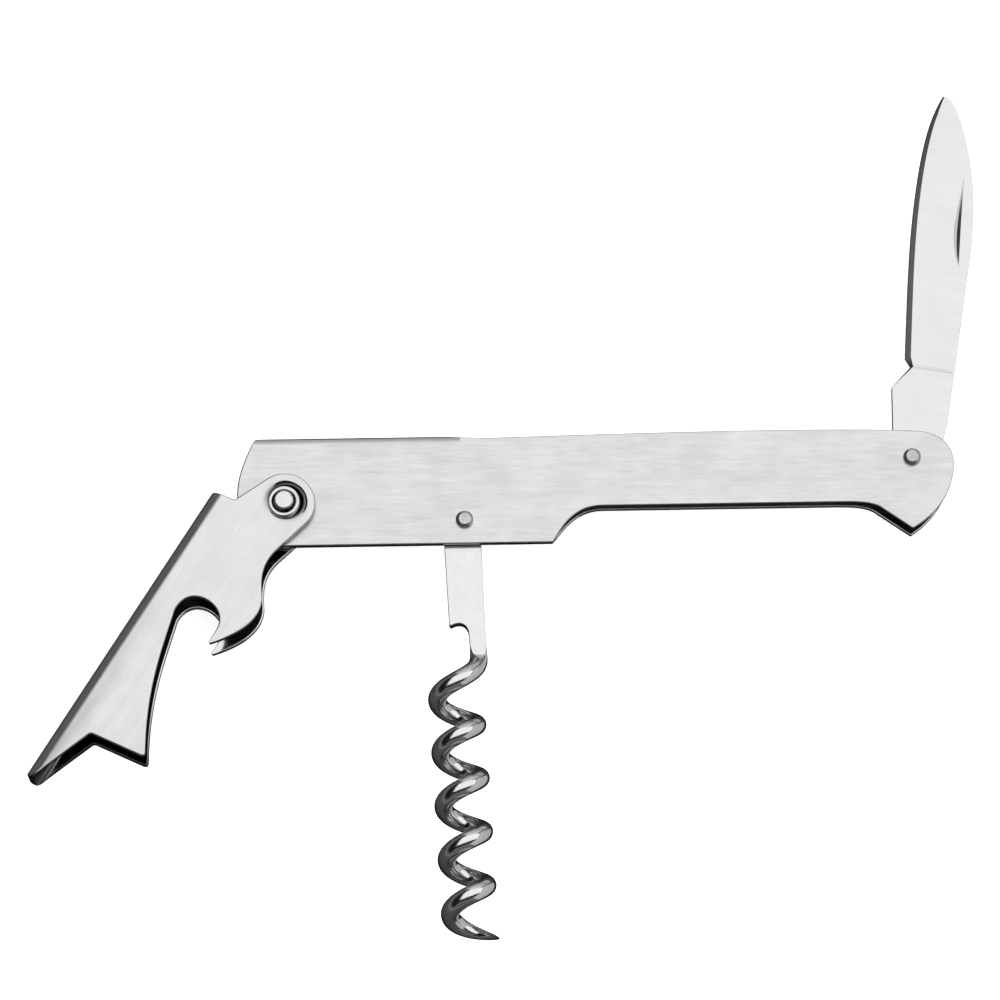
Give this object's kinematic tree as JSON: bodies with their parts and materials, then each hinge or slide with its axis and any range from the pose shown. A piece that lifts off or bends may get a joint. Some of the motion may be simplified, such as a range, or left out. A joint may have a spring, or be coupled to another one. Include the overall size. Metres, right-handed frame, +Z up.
{
  "type": "waiter's corkscrew",
  "caption": "Folded-sheet waiter's corkscrew, half opened: slim handle with a hinged boot lever and cap lifter, a folding foil knife and a folding right-handed worm.",
  "frame": {"origin": "bottom centre of the bounding box of the half-opened tool as it lies on its side", "axes": "+X along the handle from the lever to the knife, +Y from the worm side to the knife side, +Z up out of the handle's front wall, along every pivot"},
  "size_m": [0.154, 0.1402, 0.0124],
  "materials": {
    "brushed_handle": "stainless sheet, fine brushing along the handle",
    "brushed_lever": "stainless sheet, fine brushing along the lever",
    "ground_blade": "stainless blade, cross-ground satin with a ground edge",
    "polished_worm": "polished steel wire",
    "rivet_steel": "smooth turned stainless",
    "spring_steel": "plain spring steel"
  },
  "bodies": {
    "handle": {"handle_channel": "brushed_handle", "lever_pivot_eyelet": "rivet_steel", "lever_pivot_pin": "rivet_steel", "back_spring": "spring_steel", "knife_pivot_pin": "rivet_steel", "knife_washer_front": "rivet_steel", "knife_washer_back": "rivet_steel", "worm_pivot_pin": "rivet_steel", "worm_washer_front": "rivet_steel", "worm_washer_back": "rivet_steel"},
    "lever": {"boot_lever": "brushed_lever"},
    "knife": {"knife_blade": "ground_blade"},
    "worm": {"corkscrew_worm": "polished_worm"}
  },
  "joints": [
    {"name": "lever_pivot", "type": "hinge", "parent": "handle", "child": "lever", "pos_m": [-0.03601, 0.00081, 0.0062], "axis": [0, 0, 1], "range_deg": [-45, 56]},
    {"name": "knife_pivot", "type": "hinge", "parent": "handle", "child": "knife", "pos_m": [0.06509, 0.00726, 0.0062], "axis": [0, 0, 1], "range_deg": [-80, 96]},
    {"name": "worm_pivot", "type": "hinge", "parent": "handle", "child": "worm", "pos_m": [-0.00711, -0.00209, 0.0062], "axis": [0, 0, 1], "range_deg": [0, 86]}
  ]
}
